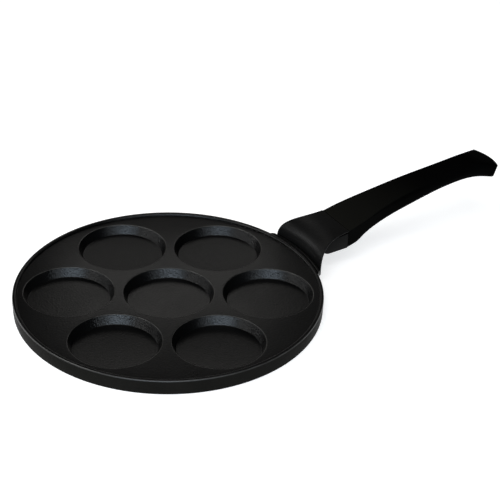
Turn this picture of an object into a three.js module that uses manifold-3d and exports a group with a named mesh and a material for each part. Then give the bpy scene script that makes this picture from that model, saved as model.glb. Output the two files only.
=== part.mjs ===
// A pancake pan: a round casting with shallow wells, whose bracket and tang carry a moulded handle.
// Millimetres, +Z up. The origin is the centre of the pan's flat underside, and the handle lies along +X.
import * as THREE from "three";
import { mergeVertices } from "three/addons/utils/BufferGeometryUtils.js";
import Module from "manifold-3d";

// Wells
const wellRadius = 38;
const wellDepth = 8;
const wellWallRun = 3.4;
const wellLand = 7.2;
const outerWells = 6;

// Pan
const floorThickness = 3;
const borderLand = 5.1;
const rimWidth = 3.7;
const rimHeight = 2.4;
const rimInnerRun = 1;
const rimRound = 1.7;
const wallTaper = 0.5;
const baseRound = 1;

// Bracket plate and its root on the pan's edge
const bracketReach = 37;
const bracketTop = 33.1;
const bracketThickness = 1.8;
const bracketFlareRadius = 58;
const bracketFootInset = 3;
const bracketSteepRun = 4;
const bracketSteepDrop = 6;
const bracketBendReach = 8;
const bracketBendDrop = 2.2;
const ledgeWidth = 3;
const ledgeDrop = 1.8;
const rootDepth = 5;
const webThickness = 2.2;
const webLap = 0.6;

// Tang, a flat bar that rises through the collar into the grip
const tangWidth = 18;
const tangThickness = 4.4;
const tangSlope = 0.275;
const tangInset = 38;
const tangDrop = 8;

// Collar
const collarLength = 24;
const collarCorner = 7;

// Grip: places are measured from its front, rises from the bracket's top
const gripLength = 169.3;
const gripFrontWidth = 42;
const gripFrontDepth = 17.9;
const gripHeelAt = 11;
const gripHeelRise = 3;
const gripHeelDepth = 18.2;
const gripNeckAt = 19;
const gripNeckWidth = 39.2;
const gripNeckRise = 5.1;
const gripNeckDepth = 15.5;
const gripThroatAt = 38;
const gripThroatWidth = 34.2;
const gripThroatRise = 10.7;
const gripMiddleAt = 70;
const gripMiddleWidth = 30.2;
const gripMiddleRise = 17.8;
const gripMiddleDepth = 16.2;
const gripWaistAt = 118;
const gripWaistWidth = 28;
const gripWaistRise = 23.4;
const gripWaistDepth = 14;
const gripCrestAt = 143;
const gripCrestWidth = 29.4;
const gripCrestRise = 24.4;
const gripTailWidth = 38.4;
const gripTailRise = 20;
const gripTailDepth = 13.6;
const gripTailBulge = 6;
const gripTailLean = 0.34;
const gripUpperEdgeFront = 1;
const gripUpperEdgeMiddle = 5.5;
const gripUpperEdgeTail = 0.8;
const gripLowerEdgeFront = 3.5;
const gripLowerEdgeMiddle = 6.5;
const gripLowerEdgeTail = 4;

// Screw and washers, M4
const screwFromFront = 7.5;
const screwRadius = 2;
const screwHeadRadius = 4;
const screwHeadHeight = 2.4;
const screwSlotLength = 4.8;
const screwSlotWidth = 1.1;
const screwSlotDepth = 1.2;
const seatThickness = 1.9;
const flatWasherRadius = 4.5;
const flatWasherThickness = 0.8;
const lockWasherRadius = 3.7;
const lockWasherThickness = 0.9;
const lockWasherSplit = 0.7;
const insertRadius = 3.5;
const insertHeight = 2.6;

// Clearances
const seatGap = 0.3;
const screwGap = 0.2;
const stackGap = 0.1;

// How finely round shapes are cut into flats
const panSegments = 120;
const wellSegments = 60;
const smallSegments = 28;
const cornerSteps = 4;
const bracketSteps = 16;
const gripSteps = 34;

// Sizes that follow from those above
const wellPitch = 2 * wellRadius + wellLand;
const rimFootRadius = wellPitch + wellRadius + borderLand;
const panRadius = rimFootRadius + rimWidth;
const deckHeight = floorThickness + wellDepth;
const rimTop = deckHeight + rimHeight;
const bracketEnd = panRadius + bracketReach;
const bracketHalfWidth = gripFrontWidth / 2;
const ledgeHeight = rimTop - ledgeDrop;
const ledgeRadius = panRadius + ledgeWidth;
const rootBottom = ledgeHeight - rootDepth;
const gripFront = bracketEnd + seatGap;
const collarBottom = bracketTop - gripFrontDepth;
const tangStart = ledgeRadius;
const tangEnd = gripFront + tangInset;
const screwAt = gripFront + screwFromFront;
const tangCentre = (x) => bracketTop - tangDrop + tangSlope * (x - bracketEnd);

// How far cutting shapes reach past what they cut
const overcut = 1;
const wholeHeight = 3 * bracketTop;
const wholeWidth = 2 * panRadius;

const wasm = await Module();
wasm.setup();

// A closed geometry as a solid. Shared corners are merged and empty triangles dropped.
function solid(geometry) {
  const bare = new THREE.BufferGeometry();
  bare.setAttribute("position", geometry.getAttribute("position"));
  bare.setIndex(geometry.getIndex());
  const merged = mergeVertices(bare, 1e-4);
  const index = merged.getIndex().array;
  const kept = [];
  for (let i = 0; i < index.length; i += 3) {
    const [a, b, c] = index.slice(i, i + 3);
    if (a !== b && b !== c && c !== a) kept.push(a, b, c);
  }
  const vertProperties = new Float32Array(merged.getAttribute("position").array);
  return new wasm.Manifold(new wasm.Mesh({ numProp: 3, vertProperties, triVerts: new Uint32Array(kept) }));
}

function geometryOf(body) {
  const mesh = body.getMesh();
  const geometry = new THREE.BufferGeometry();
  geometry.setAttribute("position", new THREE.BufferAttribute(new Float32Array(mesh.vertProperties), 3));
  geometry.setIndex(new THREE.BufferAttribute(new Uint32Array(mesh.triVerts), 1));
  geometry.computeVertexNormals();
  return geometry;
}

// A profile of (radius, height) points turned about Z. It runs upwards and starts and ends on the axis.
function turned(profile, segments) {
  const points = profile.map(([radius, height]) => new THREE.Vector2(radius, height));
  return solid(new THREE.LatheGeometry(points, segments).rotateX(Math.PI / 2));
}

function disc(radius, bottom, top, segments) {
  return turned([[0, bottom], [radius, bottom], [radius, top], [0, top]], segments);
}

// An (x, z) outline given its width across the handle, centred on Y = 0.
function acrossHandle(shape, width) {
  const geometry = new THREE.ExtrudeGeometry(shape, { depth: width, bevelEnabled: false });
  return solid(geometry.rotateX(Math.PI / 2).translate(0, width / 2, 0));
}

// An (x, y) outline drawn up from one height to another.
function upright(shape, bottom, top) {
  const geometry = new THREE.ExtrudeGeometry(shape, { depth: top - bottom, bevelEnabled: false });
  return solid(geometry.translate(0, 0, bottom));
}

// A (y, z) outline drawn along the handle.
function alongHandle(shape, from, to) {
  const geometry = new THREE.ExtrudeGeometry(shape, { depth: to - from, bevelEnabled: false });
  const turn = new THREE.Matrix4().makeBasis(
    new THREE.Vector3(0, 1, 0),
    new THREE.Vector3(0, 0, 1),
    new THREE.Vector3(1, 0, 0),
  );
  return solid(geometry.applyMatrix4(turn).translate(from, 0, 0));
}

function outline(points) {
  return new THREE.Shape(points.map(([u, v]) => new THREE.Vector2(u, v)));
}

// An outline from one place to another, centred across that line.
function rectangle(from, to, width) {
  return outline([[from, -width / 2], [to, -width / 2], [to, width / 2], [from, width / 2]]);
}

// Points of a quarter of a round corner, from one angle to the next quarter turn.
function corner(u, v, radius, startAngle) {
  const points = [];
  for (let i = 0; i <= cornerSteps; i++) {
    const angle = startAngle + (i / cornerSteps) * (Math.PI / 2);
    points.push([u + radius * Math.cos(angle), v + radius * Math.sin(angle)]);
  }
  return points;
}

// A rounded section across the handle, as (y, z) points that run anticlockwise.
function handleSection(halfWidth, top, bottom, upperEdge, lowerEdge) {
  return [
    ...corner(halfWidth - upperEdge, top - upperEdge, upperEdge, 0),
    ...corner(upperEdge - halfWidth, top - upperEdge, upperEdge, Math.PI / 2),
    ...corner(lowerEdge - halfWidth, bottom + lowerEdge, lowerEdge, Math.PI),
    ...corner(halfWidth - lowerEdge, bottom + lowerEdge, lowerEdge, 1.5 * Math.PI),
  ];
}

// Skin over rings of (y, z) points that stand at growing x, closed by a flat cap at each end.
function loft(rings) {
  const count = rings[0].points.length;
  const positions = [];
  const index = [];
  for (const ring of rings) for (const [y, z] of ring.points) positions.push(ring.x, y, z);
  for (let r = 0; r + 1 < rings.length; r++) {
    for (let i = 0; i < count; i++) {
      const a = r * count + i;
      const b = r * count + ((i + 1) % count);
      index.push(a, b, b + count, a, b + count, a + count);
    }
  }
  const last = (rings.length - 1) * count;
  for (let i = 1; i + 1 < count; i++) {
    index.push(0, i + 1, i);
    index.push(last, last + i, last + i + 1);
  }
  const geometry = new THREE.BufferGeometry();
  geometry.setAttribute("position", new THREE.BufferAttribute(new Float32Array(positions), 3));
  geometry.setIndex(index);
  return solid(geometry);
}

// The bracket's upper line: it rises steeply beside the rim, bends over and runs on to the grip.
const bracketFoot = panRadius - bracketFootInset;
const bracketLine = new THREE.CubicBezierCurve(
  new THREE.Vector2(bracketFoot, rimTop),
  new THREE.Vector2(bracketFoot + bracketSteepRun, bracketTop - bracketSteepDrop),
  new THREE.Vector2(panRadius + bracketBendReach, bracketTop - bracketBendDrop),
  new THREE.Vector2(bracketEnd, bracketTop),
);

// The same line sunk square to itself and dropped from its foot to the root's bottom, foot first.
function bracketLineBelow(depth) {
  const points = [];
  for (let i = 0; i <= bracketSteps; i++) {
    const at = bracketLine.getPoint(i / bracketSteps);
    const along = bracketLine.getTangent(i / bracketSteps);
    points.push([at.x + depth * along.y, at.y - depth * along.x]);
  }
  const [footX] = points[0];
  return [[footX, rootBottom], ...points];
}

// The bracket seen from above: its sides sweep out to the pan's wall as two hollow arcs.
function bracketPlan() {
  const plan = new THREE.Shape();
  const arcY = bracketHalfWidth + bracketFlareRadius;
  const sweep = Math.asin((bracketEnd - rimFootRadius) / bracketFlareRadius);
  plan.moveTo(bracketEnd, -bracketHalfWidth);
  plan.absarc(bracketEnd, arcY, bracketFlareRadius, -Math.PI / 2, -Math.PI / 2 - sweep, true);
  plan.absarc(bracketEnd, -arcY, bracketFlareRadius, Math.PI / 2 + sweep, Math.PI / 2, true);
  return plan;
}

// The plate stands on a root that leaves a narrow ledge beside the rim.
function bracket() {
  const strip = outline([...bracketLineBelow(bracketThickness), ...bracketLineBelow(0).reverse()]);
  const rimSide = disc(ledgeRadius, ledgeHeight, wholeHeight, panSegments);
  const plate = acrossHandle(strip, wholeWidth).subtract(rimSide);
  const root = disc(ledgeRadius, rootBottom, ledgeHeight, panSegments);
  return plate.add(root).intersect(upright(bracketPlan(), 0, wholeHeight));
}

// The web ties the plate to its root and carries the tang.
// It spans the arc where the plate stands off the ledge.
function web() {
  const [footX] = bracketLineBelow(bracketThickness)[0];
  const halfWidth = Math.sqrt(ledgeRadius ** 2 - footX ** 2) + webLap;
  const ring = disc(ledgeRadius + webThickness, rootBottom, wholeHeight, panSegments);
  const inner = disc(ledgeRadius, ledgeHeight, wholeHeight, panSegments);
  const line = bracketLineBelow(bracketThickness / 2);
  const under = outline([[bracketEnd, rootBottom], ...line.reverse()]);
  const wall = ring.subtract(inner).intersect(upright(bracketPlan(), 0, wholeHeight));
  return wall.intersect(acrossHandle(under, 2 * halfWidth));
}

// The tang's side view, grown by a clearance where it passes through a neighbour.
function tangSolid(from, to, clearance) {
  const half = tangThickness / 2 + clearance;
  const shape = outline([
    [from, tangCentre(from) - half],
    [to, tangCentre(to) - half],
    [to, tangCentre(to) + half],
    [from, tangCentre(from) + half],
  ]);
  return acrossHandle(shape, tangWidth + 2 * clearance);
}

function panBody() {
  const casting = turned(
    [
      [0, 0],
      [panRadius - wallTaper - baseRound, 0],
      [panRadius - wallTaper, baseRound],
      ...corner(panRadius - rimRound, rimTop - rimRound, rimRound, 0),
      [rimFootRadius + rimInnerRun, rimTop],
      [rimFootRadius, deckHeight],
      [0, deckHeight],
    ],
    panSegments,
  );
  let body = casting;
  for (let i = 0; i <= outerWells; i++) {
    const angle = ((i - 0.5) / outerWells) * 2 * Math.PI;
    const reach = i === 0 ? 0 : wellPitch;
    const well = turned(
      [
        [0, floorThickness],
        [wellRadius - wellWallRun, floorThickness],
        [wellRadius, deckHeight],
        [wellRadius, rimTop],
        [0, rimTop],
      ],
      wellSegments,
    );
    body = body.subtract(well.translate(reach * Math.cos(angle), reach * Math.sin(angle), 0));
  }
  const insertHole = disc(insertRadius + screwGap, tangCentre(screwAt) - tangThickness,
    tangCentre(screwAt) + tangThickness, smallSegments).translate(screwAt, 0, 0);
  const outside = bracket().add(web()).add(tangSolid(tangStart, tangEnd, 0).subtract(insertHole));
  const inside = disc(panRadius - wallTaper - baseRound, -overcut, wholeHeight, panSegments);
  return body.add(outside.subtract(inside));
}

function collar() {
  const top = bracketLineBelow(bracketThickness + seatGap).filter(([x]) => x > bracketEnd - collarLength);
  const front = bracketEnd - collarLength;
  const side = outline([
    ...corner(front + collarCorner, collarBottom + collarCorner, collarCorner, Math.PI),
    [bracketEnd, collarBottom],
    [bracketEnd, top[top.length - 1][1]],
    ...top.reverse().slice(1),
    [front, top[top.length - 1][1]],
  ]);
  const half = bracketHalfWidth - seatGap;
  const section = handleSection(half, bracketTop, collarBottom, gripUpperEdgeFront, gripLowerEdgeFront);
  return acrossHandle(side, gripFrontWidth)
    .intersect(alongHandle(outline(section), front, bracketEnd))
    .subtract(tangSolid(tangStart, tangEnd, seatGap));
}

// A size that changes smoothly along the grip, through the values given at some places.
function along(stations) {
  const places = stations.map(([at]) => at);
  const values = stations.map(([, value]) => value);
  const curve = new THREE.CubicInterpolant(places, values, 1);
  return (at) => curve.evaluate(at)[0];
}

const gripWidth = along([
  [0, gripFrontWidth],
  [gripNeckAt, gripNeckWidth],
  [gripThroatAt, gripThroatWidth],
  [gripMiddleAt, gripMiddleWidth],
  [gripWaistAt, gripWaistWidth],
  [gripCrestAt, gripCrestWidth],
  [gripLength, gripTailWidth],
]);
const gripRise = along([
  [0, 0],
  [gripHeelAt, gripHeelRise],
  [gripNeckAt, gripNeckRise],
  [gripThroatAt, gripThroatRise],
  [gripMiddleAt, gripMiddleRise],
  [gripWaistAt, gripWaistRise],
  [gripCrestAt, gripCrestRise],
  [gripLength, gripTailRise],
]);
const gripDepth = along([
  [0, gripFrontDepth],
  [gripHeelAt, gripHeelDepth],
  [gripNeckAt, gripNeckDepth],
  [gripThroatAt, gripNeckDepth],
  [gripMiddleAt, gripMiddleDepth],
  [gripWaistAt, gripWaistDepth],
  [gripCrestAt, gripWaistDepth],
  [gripLength, gripTailDepth],
]);
const gripUpperEdge = along([
  [0, gripUpperEdgeFront],
  [gripNeckAt, gripUpperEdgeFront],
  [gripMiddleAt, gripUpperEdgeMiddle],
  [gripCrestAt, gripUpperEdgeMiddle],
  [gripLength, gripUpperEdgeTail],
]);
const gripLowerEdge = along([
  [0, gripLowerEdgeFront],
  [gripMiddleAt, gripLowerEdgeMiddle],
  [gripCrestAt, gripLowerEdgeMiddle],
  [gripLength, gripLowerEdgeTail],
]);

function gripShell() {
  const rings = [];
  for (let i = 0; i <= gripSteps; i++) {
    const at = (i / gripSteps) * gripLength;
    const top = bracketTop + gripRise(at);
    const bottom = top - gripDepth(at);
    const points = handleSection(gripWidth(at) / 2, top, bottom, gripUpperEdge(at), gripLowerEdge(at));
    rings.push({ x: gripFront + at, points });
  }
  return loft(rings);
}

// The grip seen from above: only the bulged tail cuts the shell, and it leans out towards its top.
function gripTail() {
  const plan = new THREE.Shape();
  const half = gripTailWidth / 2 + overcut;
  const end = gripFront + gripLength;
  const wide = gripFrontWidth;
  plan.moveTo(gripFront - wide, -wide);
  plan.lineTo(end - gripTailBulge, -wide);
  plan.lineTo(end - gripTailBulge, -half);
  plan.quadraticCurveTo(end + gripTailBulge, 0, end - gripTailBulge, half);
  plan.lineTo(end - gripTailBulge, wide);
  plan.lineTo(gripFront - wide, wide);
  const lean = new THREE.Matrix4().makeShear(0, 0, 0, 0, gripTailLean, 0);
  const tailTop = bracketTop + gripTailRise;
  const geometry = new THREE.ExtrudeGeometry(plan, { depth: wholeHeight, bevelEnabled: false });
  return solid(geometry.translate(0, 0, -tailTop).applyMatrix4(lean).translate(0, 0, tailTop));
}

// Heights of the screw's stack, from the tang down to the head.
const seatTop = tangCentre(screwAt) - tangThickness / 2 - seatGap;
const seatFace = seatTop - seatThickness;
const flatWasherTop = seatFace - stackGap;
const lockWasherTop = flatWasherTop - flatWasherThickness - stackGap;
const headTop = lockWasherTop - lockWasherThickness - stackGap;
const insertBottom = tangCentre(screwAt) - insertHeight / 2;
const insertTop = insertBottom + insertHeight;

function grip() {
  const pocket = disc(flatWasherRadius + seatGap, 0, seatFace, smallSegments).translate(screwAt, 0, 0);
  const hole = disc(screwRadius + seatGap, 0, tangCentre(screwAt), smallSegments).translate(screwAt, 0, 0);
  return gripShell()
    .intersect(gripTail())
    .subtract(tangSolid(tangStart, tangEnd + seatGap, seatGap))
    .subtract(pocket)
    .subtract(hole);
}

function screw() {
  const shank = disc(screwRadius, headTop - screwHeadHeight / 2, insertTop, smallSegments);
  const head = disc(screwHeadRadius, headTop - screwHeadHeight, headTop, smallSegments);
  const bottom = headTop - screwHeadHeight;
  const slot = rectangle(-screwSlotLength / 2, screwSlotLength / 2, screwSlotWidth);
  const cut = upright(slot, bottom - overcut, bottom + screwSlotDepth);
  return head.add(shank).subtract(cut).subtract(cut.rotate(0, 0, 90)).translate(screwAt, 0, 0);
}

function ring(outerRadius, innerRadius, bottom, top) {
  const hole = disc(innerRadius, bottom - overcut, top + overcut, smallSegments);
  return disc(outerRadius, bottom, top, smallSegments).subtract(hole);
}

function flatWasher() {
  return ring(flatWasherRadius, screwRadius + screwGap, flatWasherTop - flatWasherThickness, flatWasherTop)
    .translate(screwAt, 0, 0);
}

function lockWasher() {
  const bottom = lockWasherTop - lockWasherThickness;
  const whole = ring(lockWasherRadius, screwRadius + screwGap, bottom, lockWasherTop);
  const split = rectangle(0, lockWasherRadius + overcut, lockWasherSplit);
  return whole.subtract(upright(split, 0, bracketTop)).translate(screwAt, 0, 0);
}

function insert() {
  return ring(insertRadius, screwRadius + screwGap, insertBottom, insertTop).translate(screwAt, 0, 0);
}

const coated = { color: 0x2a2a2b, roughness: 0.5, metalness: 0.3 };
const steel = { color: 0x9a9c9e, roughness: 0.35, metalness: 1 };

const part = new THREE.Group();
function place(name, body, finish) {
  const mesh = new THREE.Mesh(geometryOf(body), new THREE.MeshStandardMaterial(finish));
  mesh.name = name;
  part.add(mesh);
}

place("pan_body", panBody(), coated);
place("handle_collar", collar(), coated);
place("handle_grip", grip(), { color: 0x0b0b0b, roughness: 0.65, metalness: 0 });
place("handle_screw", screw(), steel);
place("handle_flat_washer", flatWasher(), steel);
place("handle_lock_washer", lockWasher(), steel);
place("tang_insert", insert(), steel);

export default part;
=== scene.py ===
import math
from bisect import bisect

import bpy
from mathutils import Matrix, Vector


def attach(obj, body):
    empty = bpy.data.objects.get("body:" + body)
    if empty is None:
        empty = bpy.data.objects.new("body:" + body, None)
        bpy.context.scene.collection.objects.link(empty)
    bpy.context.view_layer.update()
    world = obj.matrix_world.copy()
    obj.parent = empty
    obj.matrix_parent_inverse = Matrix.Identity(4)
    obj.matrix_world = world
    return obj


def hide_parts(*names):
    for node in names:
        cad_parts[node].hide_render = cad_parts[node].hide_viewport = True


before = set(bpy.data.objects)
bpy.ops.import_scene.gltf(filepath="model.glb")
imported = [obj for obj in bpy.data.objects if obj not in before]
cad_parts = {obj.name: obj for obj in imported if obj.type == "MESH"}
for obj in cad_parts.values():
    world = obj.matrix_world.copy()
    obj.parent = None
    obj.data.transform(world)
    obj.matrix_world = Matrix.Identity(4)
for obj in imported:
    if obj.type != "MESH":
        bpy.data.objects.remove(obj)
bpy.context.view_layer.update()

mm = 0.001  # the pan's sizes and the camera's place are in millimetres, the studio's sizes in metres
mergeGap = 0.004 * mm
print("frame loaded:", ", ".join(sorted(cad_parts)))


# Selecting and editing

def clearSelection():
    if bpy.context.mode != "OBJECT":
        bpy.ops.object.mode_set(mode="OBJECT")
    bpy.ops.object.select_all(action="DESELECT")


def pick(*pieces):
    clearSelection()
    for piece in pieces:
        piece.select_set(True)
    bpy.context.view_layer.objects.active = pieces[0]


def startEdit(piece, select="SELECT", mode="VERT"):
    pick(piece)
    bpy.ops.object.mode_set(mode="EDIT")
    bpy.ops.mesh.select_mode(type=mode)
    bpy.ops.mesh.select_all(action=select)


def endEdit():
    bpy.ops.object.mode_set(mode="OBJECT")


def selectVertices(piece, wanted):
    startEdit(piece, "DESELECT")
    endEdit()
    for vertex in piece.data.vertices:
        vertex.select = wanted(vertex.co / mm)
    bpy.ops.object.mode_set(mode="EDIT")


def selectEdges(piece, wanted):
    startEdit(piece, "DESELECT", "EDGE")
    endEdit()
    corners = piece.data.vertices
    for edge in piece.data.edges:
        start, end = (corners[i].co / mm for i in edge.vertices)
        edge.select = wanted(start, end)
    bpy.ops.object.mode_set(mode="EDIT")


def closeUp(piece):
    startEdit(piece)
    bpy.ops.mesh.remove_doubles(threshold=mergeGap)
    bpy.ops.mesh.normals_make_consistent(inside=False)
    endEdit()


def applyModifier(piece, kind, **settings):
    pick(piece)
    bpy.ops.object.modifier_add(type=kind)
    modifier = piece.modifiers[-1]
    for key, value in settings.items():
        setattr(modifier, key, value)
    bpy.ops.object.modifier_apply(modifier=modifier.name)


def combine(piece, tool, operation):
    applyModifier(piece, "BOOLEAN", operation=operation, object=tool, solver="EXACT")
    bpy.data.objects.remove(tool, do_unlink=True)


def roundEdges(piece, width, angle=40, segments=3):
    applyModifier(piece, "BEVEL", width=width * mm, segments=segments, limit_method="ANGLE",
                  angle_limit=math.radians(angle))


def smooth(piece, angle=32):
    pick(piece)
    bpy.ops.object.shade_smooth_by_angle(angle=math.radians(angle))


# Lines, turned shapes and grids

# a line whose inner corners are rounded, each by its own radius
def fillet(points, radii, steps=5):
    line = [Vector(points[0])]
    for before, corner, after, radius in zip(points, points[1:], points[2:], radii):
        corner = Vector(corner)
        back = (Vector(before) - corner).normalized()
        ahead = (Vector(after) - corner).normalized()
        half = back.angle(ahead) / 2
        centre = corner + (back + ahead).normalized() * (radius / math.sin(half))
        start = corner + back * (radius / math.tan(half)) - centre
        end = corner + ahead * (radius / math.tan(half)) - centre
        turn = math.atan2(start.x * end.y - start.y * end.x, start.dot(end))
        for i in range(steps + 1):
            line.append(centre + Matrix.Rotation(turn * i / steps, 2) @ start)
    line.append(Vector(points[-1]))
    return line


def nameNew(name):
    piece = bpy.context.object
    piece.name = piece.data.name = name
    return piece


def drawLine(name, points):
    clearSelection()
    bpy.ops.mesh.primitive_plane_add(size=mm)
    piece = nameNew(name)
    startEdit(piece)
    bpy.ops.mesh.merge(type="CENTER")
    bpy.ops.transform.translate(value=Vector(points[0]) * mm)
    for before, after in zip(points, points[1:]):
        step = (Vector(after) - Vector(before)) * mm
        bpy.ops.mesh.extrude_vertices_move(TRANSFORM_OT_translate={"value": step})
    endEdit()
    return piece


def turnProfile(name, profile, steps):
    piece = drawLine(name, [(radius, 0, height) for radius, height in profile])
    startEdit(piece)
    bpy.ops.mesh.spin(steps=steps, angle=2 * math.pi, center=(0, 0, 0), axis=(0, 0, 1))
    endEdit()
    closeUp(piece)
    return piece


def shiftMesh(piece, offset):
    startEdit(piece)
    bpy.ops.transform.translate(value=Vector(offset) * mm)
    endEdit()


def addRod(name, radius, bottom, top, at, steps=48):
    rod = turnProfile(name, [(0, bottom), (radius, bottom), (radius, top), (0, top)], steps)
    shiftMesh(rod, (at, 0, 0))
    return rod


def addBlock(name, low, high):
    clearSelection()
    bpy.ops.mesh.primitive_cube_add(size=1)
    piece = nameNew(name)
    startEdit(piece)
    bpy.ops.transform.resize(value=(Vector(high) - Vector(low)) * mm)
    bpy.ops.transform.translate(value=(Vector(low) + Vector(high)) / 2 * mm)
    endEdit()
    return piece


def shapeGrid(name, rows, columns, place):
    clearSelection()
    bpy.ops.mesh.primitive_grid_add(x_subdivisions=rows, y_subdivisions=columns, size=1)
    piece = nameNew(name)
    for vertex in piece.data.vertices:
        row = round((vertex.co.x + 0.5) * rows)  # the new grid runs from -0.5 to 0.5
        column = round((vertex.co.y + 0.5) * columns)
        vertex.co = Vector(place(row, column)) * mm
    return piece


# joins a rolled-up grid along its seam and caps both ends
def closeTube(piece):
    closeUp(piece)
    startEdit(piece, "DESELECT")
    bpy.ops.mesh.select_non_manifold()
    bpy.ops.mesh.fill_holes(sides=0)
    endEdit()
    closeUp(piece)


# a cubic curve with four control points
def curvePoint(points, share):
    a, b, c, d = (Vector(p) for p in points)
    rest = 1 - share
    return a * rest**3 + b * (3 * rest**2 * share) + c * (3 * rest * share**2) + d * share**3


# Pan: seven wells, the deck between them and the raised rim

pan = {
    "wellRadius": 38, "wellWallRun": 3.4, "wellPitch": 83.2, "outerWells": 6,
    "floor": 3, "deck": 11, "lipRound": 0.9, "floorRound": 0.5,
    "radius": 130, "rimFoot": 126.3, "rimFootHeight": 1, "rimInnerRun": 0.6, "rimTop": 13.4,
    "rimFootRound": 0.1, "rimBendRound": 0.3, "rimCrestRound": 1.6, "rimRound": 1.3,
    "wallTaper": 0.5, "baseRound": 1,
    "flatRing": 1.2, "wellSteps": 96, "panSteps": 192,
}


def makeWell():
    corners = [
        (pan["wellRadius"] + pan["flatRing"], pan["deck"]),
        (pan["wellRadius"], pan["deck"]),
        (pan["wellRadius"] - pan["wellWallRun"], pan["floor"]),
        (0, pan["floor"]),
    ]
    profile = fillet(corners, [pan["lipRound"], pan["floorRound"]])
    return turnProfile("well", profile, pan["wellSteps"])


def makePanShell():
    corners = [
        (pan["rimFoot"] - pan["flatRing"], pan["deck"]),
        (pan["rimFoot"], pan["deck"]),
        (pan["rimFoot"], pan["deck"] + pan["rimFootHeight"]),
        (pan["rimFoot"] + pan["rimInnerRun"], pan["rimTop"]),
        (pan["radius"], pan["rimTop"]),
        (pan["radius"] - pan["wallTaper"], 0),
        (0, 0),
    ]
    rounds = [pan[key] for key in ("rimFootRound", "rimBendRound", "rimCrestRound", "rimRound", "baseRound")]
    return turnProfile("pan_casting", fillet(corners, rounds), pan["panSteps"])


def makePan():
    well = makeWell()
    wells = [well]
    for i in range(pan["outerWells"]):
        angle = (i + 0.5) / pan["outerWells"] * 2 * math.pi  # the handle lies between two wells
        pick(well)
        bpy.ops.object.duplicate(linked=False)
        copied = bpy.context.object
        shiftMesh(copied, (pan["wellPitch"] * math.cos(angle), pan["wellPitch"] * math.sin(angle), 0))
        wells.append(copied)
    shell = makePanShell()
    pick(shell, *wells)
    bpy.ops.object.join()
    startEdit(shell, "DESELECT")
    bpy.ops.mesh.select_non_manifold()
    bpy.ops.mesh.fill(use_beauty=True)  # the deck
    endEdit()
    closeUp(shell)
    return shell


# Bracket: one plate that leaves a ledge beside the rim, rises, bends over and runs to the grip

bracket = {
    "end": 167, "halfWidth": 21, "flareRadius": 59.5, "thickness": 1.8, "lipShare": 0.4, "edgeRound": 0.25,
    "root": [  # (radius, z) corners of a bead beside the rim, between two grooves
        (128.6, 11.2), (130.3, 11.2), (130.7, 12.5), (131.3, 12.9), (132.3, 12.9),
        (132.9, 12.5), (133.3, 11.2), (134.2, 11.2), (134.2, 6.6), (128.6, 6.6),
    ],
    "rootRound": 0.3,
    "ledgeRadius": 133.6, "footBottom": 7, "riseFoot": 11, "riseLean": 0.8, "riseTop": 28.4,
    "bend": (143.5, 31.2), "top": 33.1, "rows": 34, "columns": 36, "arcTries": 8,
}
tang = {
    "start": 135.4, "end": 205.3, "width": 18, "thickness": 4.4, "slope": 0.275, "centre": 25.1,
    "edgeRound": 0.4, "holeAt": 174.8, "holeRadius": 3.7, "holeBottom": 20, "holeTop": 35,
}


def plateHalf(x):
    reach = bracket["end"] - x
    flare = bracket["flareRadius"]
    return bracket["halfWidth"] + flare - math.sqrt(flare**2 - reach**2)


# where a share of the plate's half width lies on a circle round the pan's middle
def onArc(radius, side):
    x = radius
    for _ in range(bracket["arcTries"]):
        x = math.sqrt(radius**2 - (side * plateHalf(x))**2)
    return x


def acrossShare(column):
    return 2 * column / bracket["columns"] - 1


# control points of the upper face's line: up from the ledge's arc, over the bend and on to the grip
def plateLine(arc):
    return [
        (arc, bracket["riseFoot"]),
        (arc + bracket["riseLean"], bracket["riseTop"]),
        bracket["bend"],
        (bracket["end"], bracket["top"]),
    ]


def platePoint(row, column):
    side = acrossShare(column)
    arc = onArc(bracket["ledgeRadius"], side)
    if row == 0:
        return arc, side * plateHalf(arc), bracket["footBottom"]
    x, height = curvePoint(plateLine(arc), (row - 1) / (bracket["rows"] - 1))
    return x, side * plateHalf(x), height


def rootPoint(row, column):
    side = acrossShare(column)
    radius, height = bracket["root"][row % len(bracket["root"])]
    x = onArc(radius, side)
    return x, side * plateHalf(x), height


def makePlate():
    sheet = shapeGrid("plate", bracket["rows"], bracket["columns"], platePoint)
    inner = sheet.vertex_groups.new(name="inner")  # the sides thin out to a lip over the collar's seam
    for vertex in sheet.data.vertices:
        if abs(vertex.co.y) < plateHalf(vertex.co.x / mm) * mm * (1 - 1 / bracket["columns"]):
            inner.add([vertex.index], 1, "REPLACE")
    applyModifier(sheet, "SOLIDIFY", thickness=bracket["thickness"] * mm, offset=-1, use_even_offset=True,
                  vertex_group=inner.name, thickness_vertex_group=bracket["lipShare"])
    closeUp(sheet)
    roundEdges(sheet, bracket["edgeRound"])
    return sheet


def makeRoot():
    piece = shapeGrid("root", len(bracket["root"]), bracket["columns"], rootPoint)
    closeTube(piece)
    roundEdges(piece, bracket["rootRound"])
    return piece


def tangHeight(x):
    return tang["centre"] + tang["slope"] * (x - bracket["end"])


# a sloping bar like the tang, grown on all sides where it cuts a socket
def makeTangBar(name, start, end, growth):
    half = tang["thickness"] / 2 + growth
    wide = tang["width"] / 2 + growth
    bar = addBlock(name, (start, -wide, -half), (end, wide, half))
    for vertex in bar.data.vertices:
        vertex.co.z += tangHeight(vertex.co.x / mm) * mm
    return bar


panPiece = makePan()
combine(panPiece, makeRoot(), "UNION")
combine(panPiece, makePlate(), "UNION")
tangBar = makeTangBar("tang", tang["start"], tang["end"], 0)
roundEdges(tangBar, tang["edgeRound"])
combine(panPiece, tangBar, "UNION")
insertHole = addRod("insert_hole", tang["holeRadius"], tang["holeBottom"], tang["holeTop"], tang["holeAt"])
combine(panPiece, insertHole, "DIFFERENCE")
smooth(panPiece)
print("pan casting:", len(panPiece.data.polygons), "faces")


# Grip: places from its front, rises from the bracket's top

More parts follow.
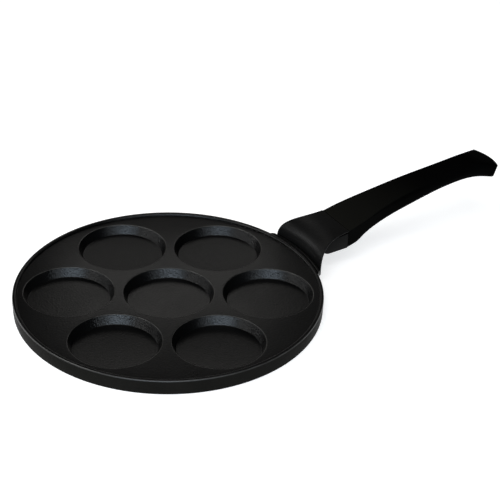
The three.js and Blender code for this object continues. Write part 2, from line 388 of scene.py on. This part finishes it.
grip = {
    "front": 167.3, "length": 169.3, "base": 33.1,
    "width": [(0, 42), (19, 39.2), (38, 34.2), (70, 30.2), (118, 28), (143, 29.4), (169.3, 38.4)],
    "rise": [(0, 0), (11, 3), (19, 5.1), (38, 10.7), (70, 17.8), (118, 23.4), (143, 24.35), (169.3, 20)],
    "depth": [(0, 17.9), (11, 18.2), (19, 15.5), (38, 15.5), (70, 16.2), (118, 14), (143, 14), (169.3, 13.6)],
    "upperEdge": [(0, 1), (19, 1), (70, 5.5), (143, 5.5), (169.3, 0.8)],
    "lowerEdge": [(0, 3.5), (70, 6.5), (143, 6.5), (169.3, 4)],
    "crown": [(0, 0.3), (70, 0.4), (143, 0.2), (169.3, 0.1)],
    "tailBulge": 6, "tailHalf": 20.2, "tailLean": 0.34, "tailFrom": 0.7, "tailTries": 6,
    "stations": 84, "cornerSteps": 6, "flatSteps": 6, "endRound": 0.6, "endAngle": 60,
    "socketGap": 0.3, "pocketRadius": 4.8, "pocketBottom": 0, "pocketTop": 22.85,
    "holeRadius": 2.3, "holeBottom": 10, "paintedTopFrom": 0.7,
}


# a smooth curve through (place, size) stations
def along(stations):
    places = [place for place, _ in stations]
    sizes = [size for _, size in stations]
    last = len(places) - 1

    def sizeAt(at):
        i = max(1, min(last, bisect(places, at)))
        before = i - 2 if i > 1 else i
        after = i + 1 if i < last else i - 1
        span = places[i] - places[i - 1]
        climb = sizes[i] - sizes[i - 1]
        climbBefore = (sizes[i - 1] - sizes[before]) * span / (places[i - 1] - places[before])
        climbAfter = (sizes[after] - sizes[i]) * span / (places[after] - places[i])
        p = max(0, min(1, (at - places[i - 1]) / span))
        return (sizes[i - 1] * (2 * p**3 - 3 * p**2 + 1) + sizes[i] * (3 * p**2 - 2 * p**3)
                + (climb + climbBefore) / 2 * (p**3 - 2 * p**2 + p)
                + (climb + climbAfter) / 2 * (p**3 - p**2))

    return sizeAt


gripSizes = {key: along(grip[key]) for key in ("width", "rise", "depth", "upperEdge", "lowerEdge", "crown")}
ringCount = 4 * (grip["cornerSteps"] + grip["flatSteps"])


# a rounded section as (y, z) points, anticlockwise, with points along its flats too
def handleRing(half, top, bottom, upper, lower, crown):
    corners = [
        (half - upper, top - upper, upper, 0),
        (upper - half, top - upper, upper, 1),
        (lower - half, bottom + lower, lower, 2),
        (half - lower, bottom + lower, lower, 3),
    ]
    arcs = []
    for y, z, radius, quarter in corners:
        angles = [(quarter + i / grip["cornerSteps"]) * math.pi / 2 for i in range(grip["cornerSteps"] + 1)]
        arcs.append([(y + radius * math.cos(a), z + radius * math.sin(a)) for a in angles])
    ring = []
    for arc, following in zip(arcs, arcs[1:] + arcs[:1]):
        ring += arc
        start, end = Vector(arc[-1]), Vector(following[0])
        ring += [tuple(start.lerp(end, i / grip["flatSteps"])) for i in range(1, grip["flatSteps"])]
    crowned = []
    for y, z in ring:
        drop = crown * (y / half)**2 * (z - bottom) / (top - bottom)
        crowned.append((y, z - drop))
    return crowned


def gripPoint(row, column):
    share = row / grip["stations"]
    at = share * grip["length"]
    pull = max(0, (share - grip["tailFrom"]) / (1 - grip["tailFrom"]))**2
    tailTop = grip["base"] + grip["rise"][-1][1]
    reach = at
    for _ in range(grip["tailTries"]):  # the tail leans and bulges, so a ring's points reach unequally far
        size = {key: sizeAt(reach) for key, sizeAt in gripSizes.items()}
        top = grip["base"] + size["rise"]
        ring = handleRing(size["width"] / 2, top, top - size["depth"], size["upperEdge"],
                          size["lowerEdge"], size["crown"])
        y, z = ring[column % ringCount]
        back = grip["tailBulge"] * (y / grip["tailHalf"])**2 - grip["tailLean"] * (z - tailTop)
        reach = at - pull * back
    return grip["front"] + reach, y, z


def makeGrip():
    piece = shapeGrid("handle_moulding", grip["stations"], ringCount, gripPoint)
    closeTube(piece)
    roundEdges(piece, grip["endRound"], angle=grip["endAngle"])
    at = tang["holeAt"]
    socket = makeTangBar("socket", tang["start"], tang["end"] + grip["socketGap"], grip["socketGap"])
    combine(piece, socket, "DIFFERENCE")
    pocket = addRod("pocket", grip["pocketRadius"], grip["pocketBottom"], grip["pocketTop"], at)
    combine(piece, pocket, "DIFFERENCE")
    hole = addRod("hole", grip["holeRadius"], grip["holeBottom"], tangHeight(at), at)
    combine(piece, hole, "DIFFERENCE")
    smooth(piece)
    return piece


gripPiece = makeGrip()
print("grip:", len(gripPiece.data.polygons), "faces")


# Collar: a block on the tang, close under the bracket's plate

collar = {
    "front": 140.5, "end": 167, "half": 20.7, "bottom": 15.2, "sag": 0.8, "seam": 0.8, "gap": 0.3,
    "frontRound": 8, "roundSteps": 8, "topSteps": 8, "lowerRound": 2, "lowerSteps": 6,
    "edgeRound": 0.5, "edgeAngle": 50, "tiny": 0.05, "halvings": 30, "shareStep": 0.001,
}


# the seam's lower side under the plate's middle line, found by halving
def underPlate(x):
    depth = bracket["thickness"] + collar["seam"]
    line = plateLine(bracket["ledgeRadius"])
    low, high = 0, 1
    for _ in range(collar["halvings"]):
        share = (low + high) / 2
        at = curvePoint(line, share)
        ahead = (curvePoint(line, share + collar["shareStep"]) - at).normalized()
        if at.x + depth * ahead.y < x:
            low = share
        else:
            high = share
    return at.y - depth * ahead.x


# its side view as (x, z) points: along the bottom to the pan, round the front and back under the plate
def collarOutline():
    front, end = collar["front"], collar["end"]
    below = [(end, collar["bottom"]), (front, collar["bottom"] - collar["sag"]), (front, underPlate(front))]
    outline = fillet(below, [collar["frontRound"]], collar["roundSteps"])
    for i in range(1, collar["topSteps"] + 1):
        x = front + (end - front) * i / collar["topSteps"]
        outline.append((x, underPlate(x)))
    return outline


def onLowerSide(point):
    atTop = point.z > underPlate(point.x) - collar["tiny"] and point.x > collar["front"] + collar["tiny"]
    return abs(point.y) > collar["half"] - collar["tiny"] and not atTop


def atEnd(point):
    return point.x > collar["end"] - collar["tiny"]


def isLowerEdge(start, end):
    sameSide = start.y * end.y > 0
    return sameSide and onLowerSide(start) and onLowerSide(end) and not (atEnd(start) and atEnd(end))


def makeCollar():
    outline = [(x, -collar["half"], z) for x, z in collarOutline()]
    piece = drawLine("handle_guard", outline)
    startEdit(piece)
    bpy.ops.mesh.edge_face_add()
    bpy.ops.mesh.extrude_region_move(TRANSFORM_OT_translate={"value": (0, 2 * collar["half"] * mm, 0)})
    endEdit()
    closeUp(piece)
    selectEdges(piece, isLowerEdge)
    bpy.ops.mesh.bevel(offset=collar["lowerRound"] * mm, segments=collar["lowerSteps"], affect="EDGES")
    endEdit()
    roundEdges(piece, collar["edgeRound"], angle=collar["edgeAngle"])
    socket = makeTangBar("socket", tang["start"], tang["end"], collar["gap"])
    combine(piece, socket, "DIFFERENCE")
    smooth(piece)
    return piece


collarPiece = makeCollar()
print("collar:", len(collarPiece.data.polygons), "faces")


# Screw: a domed head with a cross recess

screw = {
    "headBottom": 18.45, "headTop": 20.85, "headRadius": 4, "headEdge": 19.7, "domeRun": 1.6,
    "shankRadius": 2, "shankTop": 28.5, "tipRun": 0.5,
    "rounds": [1.6, 0.5, 0.15, 0.1, 0.1, 0.1], "roundSteps": 4, "steps": 48,
    "slotLength": 4.8, "slotWidth": 1.1, "slotDepth": 1.2, "slotTaper": 0.75, "slotOver": 1, "tiny": 0.1,
}


def makeScrew():
    corners = [
        (0, screw["headBottom"]),
        (screw["headRadius"] - screw["domeRun"], screw["headBottom"]),
        (screw["headRadius"], screw["headEdge"]),
        (screw["headRadius"], screw["headTop"]),
        (screw["shankRadius"], screw["headTop"]),
        (screw["shankRadius"], screw["shankTop"] - screw["tipRun"]),
        (screw["shankRadius"] - screw["tipRun"], screw["shankTop"]),
        (0, screw["shankTop"]),
    ]
    profile = fillet(corners, screw["rounds"], screw["roundSteps"])
    piece = turnProfile("clamp_screw", profile, screw["steps"])
    long = screw["slotLength"] / 2
    thin = screw["slotWidth"] / 2
    floor = screw["headBottom"] + screw["slotDepth"]
    for x, y in ((long, thin), (thin, long)):
        slot = addBlock("slot", (-x, -y, screw["headBottom"] - screw["slotOver"]), (x, y, floor))
        selectVertices(slot, lambda point: point.z > floor - screw["tiny"])
        bpy.ops.transform.resize(value=(screw["slotTaper"], screw["slotTaper"], 1))
        endEdit()
        combine(piece, slot, "DIFFERENCE")
    shiftMesh(piece, (tang["holeAt"], 0, 0))
    smooth(piece)
    return piece


screwPiece = makeScrew()
print("screw:", len(screwPiece.data.polygons), "faces")


# Finishes

def newGroup(name, inputs, outputs):
    group = bpy.data.node_groups.new(name, "ShaderNodeTree")
    for socketName, kind in inputs:
        group.interface.new_socket(socketName, in_out="INPUT", socket_type=kind)
    for socketName, kind in outputs:
        group.interface.new_socket(socketName, in_out="OUTPUT", socket_type=kind)
    entry = group.nodes.new("NodeGroupInput")
    leave = group.nodes.new("NodeGroupOutput")
    return group, entry, leave


def addNode(tree, kind, inputs=None, **settings):
    node = tree.nodes.new(kind)
    for key, value in settings.items():
        setattr(node, key, value)
    for key, value in (inputs or {}).items():
        if isinstance(value, bpy.types.NodeSocket):
            tree.links.new(value, node.inputs[key])
        else:
            node.inputs[key].default_value = value
    return node


def mathNode(tree, operation, first, second):
    return addNode(tree, "ShaderNodeMath", {0: first, 1: second}, operation=operation).outputs[0]


def mixColour(tree, share, first, second):
    node = addNode(tree, "ShaderNodeMix", {0: share, 6: first, 7: second}, data_type="RGBA")
    return node.outputs[2]


grainPattern = {
    "coarseDetail": 1, "coarseRoughness": 0.45, "fineTimes": 2.7, "fineDetail": 0, "fineShare": 0.25,
    "fleckFrom": 0.6, "fleckTo": 0.75,
}
tonePattern = {"detail": 4, "roughness": 0.55, "darkAt": 0.3, "lightAt": 0.7}


# fine pebbled grain, with a mask of the few raised flecks in it
def makeGrainGroup():
    group, entry, leave = newGroup(
        "fine_grain",
        [("Vector", "NodeSocketVector"), ("Scale", "NodeSocketFloat")],
        [("Height", "NodeSocketFloat"), ("Flecks", "NodeSocketFloat")],
    )
    coarse = addNode(group, "ShaderNodeTexNoise", {
        "Vector": entry.outputs["Vector"], "Scale": entry.outputs["Scale"],
        "Detail": grainPattern["coarseDetail"], "Roughness": grainPattern["coarseRoughness"],
    })
    fineScale = mathNode(group, "MULTIPLY", entry.outputs["Scale"], grainPattern["fineTimes"])
    fine = addNode(group, "ShaderNodeTexNoise", {
        "Vector": entry.outputs["Vector"], "Scale": fineScale, "Detail": grainPattern["fineDetail"],
    })
    ripple = mathNode(group, "MULTIPLY", fine.outputs["Fac"], grainPattern["fineShare"])
    height = mathNode(group, "ADD", coarse.outputs["Fac"], ripple)
    flecks = addNode(group, "ShaderNodeMapRange", {
        "Value": coarse.outputs["Fac"],
        "From Min": grainPattern["fleckFrom"], "From Max": grainPattern["fleckTo"],
    })
    group.links.new(height, leave.inputs["Height"])
    group.links.new(flecks.outputs["Result"], leave.inputs["Flecks"])
    return group


# slow changes of tone and polish over a surface
def makeToneGroup():
    group, entry, leave = newGroup(
        "slow_tone",
        [("Vector", "NodeSocketVector"), ("Scale", "NodeSocketFloat"), ("Dark", "NodeSocketColor"),
         ("Light", "NodeSocketColor"), ("Smoothest", "NodeSocketFloat"), ("Roughest", "NodeSocketFloat")],
        [("Color", "NodeSocketColor"), ("Roughness", "NodeSocketFloat")],
    )
    cloud = addNode(group, "ShaderNodeTexNoise", {
        "Vector": entry.outputs["Vector"], "Scale": entry.outputs["Scale"],
        "Detail": tonePattern["detail"], "Roughness": tonePattern["roughness"],
    })
    spread = addNode(group, "ShaderNodeMapRange", {
        "Value": cloud.outputs["Fac"], "From Min": tonePattern["darkAt"], "From Max": tonePattern["lightAt"],
    })
    tone = mixColour(group, spread.outputs["Result"], entry.outputs["Dark"], entry.outputs["Light"])
    polish = addNode(group, "ShaderNodeMapRange", {
        "Value": spread.outputs["Result"],
        "To Min": entry.outputs["Smoothest"], "To Max": entry.outputs["Roughest"],
    })
    group.links.new(tone, leave.inputs["Color"])
    group.links.new(polish.outputs["Result"], leave.inputs["Roughness"])
    return group


def grey(level):
    return level, level, level, 1


# colours are linear, grainDepth is a length, and the from and to places of the painted light are places along
# the handle
coat = {
    "dark": grey(0.0011), "light": grey(0.0020), "toneScale": 22,
    "fleck": (0.004, 0.0041, 0.0043, 1), "fleckShare": 0.4,
    "smoothest": 0.27, "roughest": 0.33, "specular": 0.2, "metallic": 0,
    "grainScale": 620, "grainStrength": 0.8, "grainDepth": 0.13,
}
moulding = {
    "dark": grey(0.0006), "light": grey(0.0010), "toneScale": 30,
    "fleck": grey(0.002), "fleckShare": 0.4,
    "smoothest": 0.5, "roughest": 0.6, "specular": 0.006, "metallic": 0,
    "grainScale": 1600, "grainStrength": 0.25, "grainDepth": 0.1,
}
finishes = {
    "non_stick_coat": coat,
    "bracket_coat": {
        **coat, "dark": grey(0.0016), "light": grey(0.0026),
        "specular": 0.12, "grainScale": 640, "grainDepth": 0.12,
    },
    "wall_coat": {
        **coat, "smoothest": 0.25, "roughest": 0.31, "grainScale": 740, "grainDepth": 0.27,
    },
    # painted highlight: this lighter, warmer base colour stands in for the lamps' gleam on the wells' lips
    # and the rim's outer edge
    "worn_edge": {
        **coat, "dark": (0.014, 0.0134, 0.0122, 1), "light": (0.030, 0.0288, 0.0264, 1), "toneScale": 90,
        "fleck": (0.04, 0.0385, 0.036, 1), "specular": 0.33,
    },
    # painted shade: a darker, almost unreflecting coat on the rim's inner wall
    "thick_coat": {
        **coat, "dark": grey(0.0009), "light": grey(0.0014), "fleck": grey(0.002),
        "smoothest": 0.4, "roughest": 0.5, "specular": 0.02,
    },
    "outer_coat": {
        **coat, "dark": (0.0065, 0.0061, 0.0053, 1), "light": (0.0100, 0.0094, 0.0082, 1),
        "fleck": (0.012, 0.0118, 0.011, 1), "fleckShare": 0.3,
        "smoothest": 0.42, "roughest": 0.5, "specular": 0.014, "grainScale": 640, "grainDepth": 0.12,
    },
    # painted light: the moulding turns lighter towards the pan, standing in for light that falls off along
    # the handle
    "black_moulding": {
        **moulding, "paintedLight": (0.0020, 0.0020, 0.0018, 1), "paintedLightFrom": 230, "paintedLightTo": 172,
    },
    # painted light: the upward faces get a stronger lightening towards the pan, for the light falling on the
    # top
    "rubbed_moulding": {
        **moulding, "paintedLight": (0.0054, 0.0053, 0.0045, 1), "paintedLightFrom": 258, "paintedLightTo": 172,
    },
    "grey_guard": {
        "dark": (0.0019, 0.0018, 0.0017, 1), "light": (0.0029, 0.0028, 0.0026, 1), "toneScale": 40,
        "fleck": (0.010, 0.010, 0.0105, 1), "fleckShare": 0.3,
        "smoothest": 0.42, "roughest": 0.5, "specular": 0.06, "metallic": 0,
        "grainScale": 1500, "grainStrength": 0.2, "grainDepth": 0.08,
    },
    "bright_steel": {
        "dark": (0.42, 0.42, 0.43, 1), "light": (0.58, 0.58, 0.59, 1), "toneScale": 300,
        "fleck": grey(0.7), "fleckShare": 0.3,
        "smoothest": 0.25, "roughest": 0.4, "specular": 0.5, "metallic": 1,
        "grainScale": 4000, "grainStrength": 0.2, "grainDepth": 0.03,
    },
}
grainGroup = makeGrainGroup()
toneGroup = makeToneGroup()


def makeFinish(name):
    look = finishes[name]
    material = bpy.data.materials.new(name)
    material.use_nodes = True
    tree = material.node_tree
    shader = tree.nodes["Principled BSDF"]
    where = addNode(tree, "ShaderNodeTexCoord").outputs["Object"]
    grain = addNode(tree, "ShaderNodeGroup", {
        "Vector": where, "Scale": look["grainScale"],
    }, node_tree=grainGroup)
    tone = addNode(tree, "ShaderNodeGroup", {
        "Vector": where, "Scale": look["toneScale"], "Dark": look["dark"], "Light": look["light"],
        "Smoothest": look["smoothest"], "Roughest": look["roughest"],
    }, node_tree=toneGroup)
    share = mathNode(tree, "MULTIPLY", grain.outputs["Flecks"], look["fleckShare"])
    colour = mixColour(tree, share, tone.outputs["Color"], look["fleck"])
    # painted light: lighter towards the pan, as the light falls off towards the tail
    if "paintedLight" in look:  # greyed towards the pan
        place = addNode(tree, "ShaderNodeSeparateXYZ", {0: where}).outputs["X"]
        paintedLightShare = addNode(tree, "ShaderNodeMapRange", {
            "Value": place, "From Min": look["paintedLightFrom"] * mm, "From Max": look["paintedLightTo"] * mm,
        })
        colour = mixColour(tree, paintedLightShare.outputs["Result"], colour, look["paintedLight"])
    bump = addNode(tree, "ShaderNodeBump", {
        "Height": grain.outputs["Height"],
        "Strength": look["grainStrength"], "Distance": look["grainDepth"] * mm,
    })
    tree.links.new(colour, shader.inputs["Base Color"])
    tree.links.new(tone.outputs["Roughness"], shader.inputs["Roughness"])
    tree.links.new(bump.outputs["Normal"], shader.inputs["Normal"])
    shader.inputs["Specular IOR Level"].default_value = look["specular"]
    shader.inputs["Metallic"].default_value = look["metallic"]
    return material


materials = {name: makeFinish(name) for name in finishes}


def dress(piece, finish):
    piece.data.materials.clear()
    piece.data.materials.append(materials[finish])


def finishFaces(piece, finishNames, choose):
    for finish in finishNames:
        piece.data.materials.append(materials[finish])
    for face in piece.data.polygons:
        chosen = materials[choose(face.center / mm, face.normal)]
        face.material_index = piece.data.materials.find(chosen.name)


# edges of the pan's coats: three lengths, then limits of a face's upward slope, where 1 looks straight up
coatEdges = {
    "tiny": 0.1, "rimDrop": 1.5, "wallInset": 0.4,
    "underside": -0.5, "rimInside": 0.25, "highlightLip": (0.6, 0.96), "highlightRim": (0.4, 0.8),
}


# painted highlight: a lighter coat on the wells' lips and on the rim's outer edge, on the faces whose slope
# catches the lamps
def isPaintedHighlight(reach, height, upward):
    lipLow, lipHigh = coatEdges["highlightLip"]
    rimLow, rimHigh = coatEdges["highlightRim"]
    onLip = reach < pan["rimFoot"] and height > pan["deck"] - pan["lipRound"]
    onRim = reach > pan["radius"] - pan["rimRound"]
    highlightLip = onLip and lipLow < upward < lipHigh
    highlightRim = onRim and rimLow < upward < rimHigh
    return highlightLip or highlightRim


def panFinish(centre, normal):
    reach = centre.xy.length
    tiny, inset = coatEdges["tiny"], coatEdges["wallInset"]
    if reach > pan["radius"] + tiny:
        return "bracket_coat"
    lowOutside = reach > pan["rimFoot"] and centre.z < pan["rimTop"] - coatEdges["rimDrop"]
    if normal.z < coatEdges["underside"] or lowOutside:
        return "outer_coat"
    # painted highlight on the wells' lips and the rim's outer edge
    if isPaintedHighlight(reach, centre.z, normal.z):
        return "worn_edge"
    # painted shade on the rim's inner wall
    insideRim = pan["rimFoot"] - tiny < reach < pan["radius"] - pan["rimRound"]
    if insideRim and normal.z < coatEdges["rimInside"]:
        return "thick_coat"
    if reach < pan["rimFoot"] and pan["floor"] + inset < centre.z < pan["deck"] - inset:
        return "wall_coat"
    return "non_stick_coat"


# painted light: upward faces get the lighter copy of the moulding
def gripFinish(centre, normal):
    return "rubbed_moulding" if normal.z > grip["paintedTopFrom"] else "black_moulding"


standIns = [  # piece, the node that it stands for, its finish, its slot
    (panPiece, "pan_body", "non_stick_coat", "pan"),
    (collarPiece, "handle_collar", "grey_guard", "collar"),
    (gripPiece, "handle_grip", "black_moulding", "grip"),
    (screwPiece, "handle_screw", "bright_steel", "fasteners"),
]
for piece, node, finish, slotName in standIns:
    dress(piece, finish)
    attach(piece, "root")
    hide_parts(node)
finishFaces(panPiece, ["bracket_coat", "outer_coat", "wall_coat", "worn_edge", "thick_coat"], panFinish)
finishFaces(gripPiece, ["rubbed_moulding"], gripFinish)
for node in ("handle_flat_washer", "handle_lock_washer", "tang_insert"):
    dress(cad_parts[node], "bright_steel")
print("finishes:", ", ".join(materials))


# Studio: a floor and a surround that show white to the camera, and soft boxes

studio = {
    "floorSize": 14, "floorDrop": 0.0003, "floorWhite": 0.7, "floorGlow": 0.66,
    "surround": 0.02, "surroundShown": 1, "target": (0.02, 0, 0.01),
    "boxes": [  # name, azimuth from the camera's side, elevation, distance, width, height, power, colour
        ("overhead", 0, 68, 2.6, 2.2, 2.2, 34, (1, 1, 1)),
        ("front", -6, 15, 2.2, 2.0, 0.4, 36, (0.74, 0.87, 1)),
        ("frontLeft", -60, 15, 2.2, 2.0, 0.4, 8, (1, 1, 1)),
        ("frontRight", 33, 15, 2.2, 0.8, 0.4, 5, (0.85, 0.93, 1)),
        ("leftHigh", -72, 42, 2.0, 0.9, 0.5, 13, (1, 1, 0.97)),
        ("leftLow", -105, 12, 1.6, 0.8, 0.3, 2.5, (1, 1, 1)),
        ("backWide", -182, 29, 0.55, 0.5, 0.3, 0.058, (1, 0.98, 0.95)),
        ("back", -172, 31.2, 0.25, 0.212, 0.05, 0.04, (1, 0.98, 0.95)),
        ("leftBack", -114, 24, 0.9, 0.3, 0.3, 0.36, (1, 1, 1)),
    ],
}
photoCamera = {
    "lens": 116.714, "sensor": 36, "near": 0.05, "far": 50,
    "place": (-554.23, -998.24, 748.06), "azimuth": -32.4, "elevation": 31.32, "roll": 1.756,
}


# white to the camera and in reflections, shaded by the pan, and clear from below
def makeFloor():
    clearSelection()
    bpy.ops.mesh.primitive_plane_add(size=studio["floorSize"], location=(0, 0, -studio["floorDrop"]))
    floor = bpy.context.object
    floor.name = "studio_floor"
    material = bpy.data.materials.new("studio_white")
    material.use_nodes = True
    tree = material.node_tree
    tree.nodes.clear()
    path = addNode(tree, "ShaderNodeLightPath")
    shown = mathNode(tree, "MAXIMUM", path.outputs["Is Camera Ray"], path.outputs["Is Glossy Ray"])
    shown = mathNode(tree, "MAXIMUM", shown, path.outputs["Is Transmission Ray"])
    strength = mathNode(tree, "MULTIPLY", shown, studio["floorGlow"])
    glow = addNode(tree, "ShaderNodeEmission", {"Strength": strength})
    matt = addNode(tree, "ShaderNodeBsdfDiffuse", {"Color": grey(studio["floorWhite"])})
    both = addNode(tree, "ShaderNodeAddShader", {0: glow.outputs[0], 1: matt.outputs[0]})
    under = addNode(tree, "ShaderNodeNewGeometry").outputs["Backfacing"]
    clear = addNode(tree, "ShaderNodeBsdfTransparent")
    mixed = addNode(tree, "ShaderNodeMixShader", {0: under, 1: both.outputs[0], 2: clear.outputs[0]})
    end = addNode(tree, "ShaderNodeOutputMaterial")
    tree.links.new(mixed.outputs[0], end.inputs["Surface"])
    floor.data.materials.append(material)


def makeSurround():
    world = bpy.data.worlds.new("studio_surround")
    bpy.context.scene.world = world
    world.use_nodes = True
    tree = world.node_tree
    path = addNode(tree, "ShaderNodeLightPath")
    seen = mathNode(tree, "MAXIMUM", path.outputs["Is Camera Ray"], path.outputs["Is Transmission Ray"])
    level = addNode(tree, "ShaderNodeMapRange", {
        "Value": seen, "To Min": studio["surround"], "To Max": studio["surroundShown"],
    })
    background = tree.nodes["Background"]
    background.inputs["Color"].default_value = grey(1)
    tree.links.new(level.outputs["Result"], background.inputs["Strength"])


def addSoftBox(name, azimuth, elevation, distance, width, height, power, colour):
    around = math.radians(photoCamera["azimuth"] + azimuth)
    rise = math.radians(elevation)
    toward = Vector((math.sin(around) * math.cos(rise), -math.cos(around) * math.cos(rise), math.sin(rise)))
    clearSelection()
    bpy.ops.object.light_add(type="AREA", location=Vector(studio["target"]) + toward * distance)
    lamp = bpy.context.object
    lamp.name = name
    lamp.rotation_euler = toward.to_track_quat("Z", "Y").to_euler()
    lamp.data.shape = "RECTANGLE"
    lamp.data.size = width
    lamp.data.size_y = height
    lamp.data.energy = power
    lamp.data.color = colour
    lamp.visible_camera = False


def makeCamera():
    clearSelection()
    bpy.ops.object.camera_add()
    camera = bpy.context.object
    turn = (Matrix.Rotation(math.radians(photoCamera["azimuth"]), 4, "Z")
            @ Matrix.Rotation(math.radians(90 - photoCamera["elevation"]), 4, "X")
            @ Matrix.Rotation(math.radians(photoCamera["roll"]), 4, "Z"))
    camera.matrix_world = Matrix.Translation(Vector(photoCamera["place"]) * mm) @ turn
    camera.data.lens = photoCamera["lens"]
    camera.data.sensor_width = photoCamera["sensor"]
    camera.data.clip_start = photoCamera["near"]
    camera.data.clip_end = photoCamera["far"]
    bpy.context.scene.camera = camera


makeFloor()
makeSurround()
for box in studio["boxes"]:
    addSoftBox(*box)
makeCamera()
bpy.context.scene.view_settings.view_transform = "Standard"
print("studio:", len(studio["boxes"]), "soft boxes")
